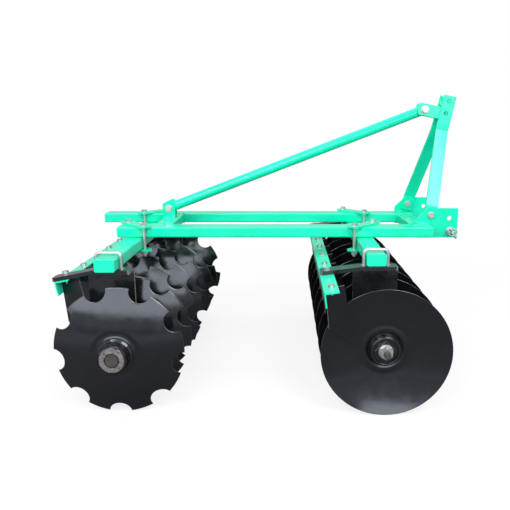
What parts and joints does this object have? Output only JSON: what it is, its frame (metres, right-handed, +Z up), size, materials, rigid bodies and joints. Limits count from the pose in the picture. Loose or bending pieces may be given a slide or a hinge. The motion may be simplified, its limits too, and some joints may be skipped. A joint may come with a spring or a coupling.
{
  "type": "mounted disc harrow",
  "caption": "Mounted disc harrow with a plain front gang and a notched rear gang under a light frame, pulled and lifted by a tractor's three-point linkage.",
  "frame": {"origin": "on the ground, under the middle of the machine's overall length and width", "axes": "+X forward, the way the machine is pulled; +Y to the left; +Z up"},
  "size_m": [1.5765, 1.488, 1.1322],
  "materials": {
    "green_paint": "gloss",
    "black_paint": "gloss",
    "black_castings": "satin",
    "zinc_plate": "satin"
  },
  "bodies": {
    "frame": {"brace_bolts": "zinc_plate", "brace_tube": "green_paint", "clamp_bolts": "zinc_plate", "front_cross_member": "green_paint", "front_gang_beam": "green_paint", "front_left_bearing": "black_castings", "front_left_hanger": "black_paint", "front_right_bearing": "black_castings", "front_right_hanger": "black_paint", "front_scraper_bar": "green_paint", "front_scrapers": "black_paint", "hanger_u_bolts": "zinc_plate", "left_hitch_plate": "green_paint", "left_lower_link_pin": "zinc_plate", "left_main_beam": "green_paint", "left_mast_bar": "green_paint", "lower_clamp_straps": "green_paint", "mast_brace_lugs": "green_paint", "mast_foot_bolts": "zinc_plate", "rear_brace_lugs": "green_paint", "rear_cross_member": "green_paint", "rear_gang_beam": "green_paint", "rear_left_bearing": "black_castings", "rear_left_hanger": "black_paint", "rear_right_bearing": "black_castings", "rear_right_hanger": "black_paint", "rear_scraper_bar": "green_paint", "rear_scrapers": "black_paint", "right_hitch_plate": "green_paint", "right_lower_link_pin": "zinc_plate", "right_main_beam": "green_paint", "right_mast_bar": "green_paint", "tube_end_plates": "green_paint", "upper_clamp_straps": "green_paint"},
    "front_gang": {"front_bearing_spools": "black_castings", "front_disc_1": "black_paint", "front_disc_2": "black_paint", "front_disc_3": "black_paint", "front_disc_4": "black_paint", "front_disc_5": "black_paint", "front_disc_6": "black_paint", "front_disc_7": "black_paint", "front_disc_8": "black_paint", "front_end_castings": "black_castings", "front_nut_and_washer": "zinc_plate", "front_shaft": "zinc_plate", "front_spools": "black_castings"},
    "rear_gang": {"rear_bearing_spools": "black_castings", "rear_disc_1": "black_paint", "rear_disc_2": "black_paint", "rear_disc_3": "black_paint", "rear_disc_4": "black_paint", "rear_disc_5": "black_paint", "rear_disc_6": "black_paint", "rear_disc_7": "black_paint", "rear_disc_8": "black_paint", "rear_end_castings": "black_castings", "rear_nut_and_washer": "zinc_plate", "rear_shaft": "zinc_plate", "rear_spools": "black_castings"}
  },
  "joints": [
    {"name": "front_gang_spin", "type": "hinge", "parent": "frame", "child": "front_gang", "pos_m": [0.4095, 0.031, 0.23], "axis": [0, 1, 0], "continuous": true},
    {"name": "rear_gang_spin", "type": "hinge", "parent": "frame", "child": "rear_gang", "pos_m": [-0.5265, -0.031, 0.23], "axis": [0, 1, 0], "continuous": true}
  ]
}
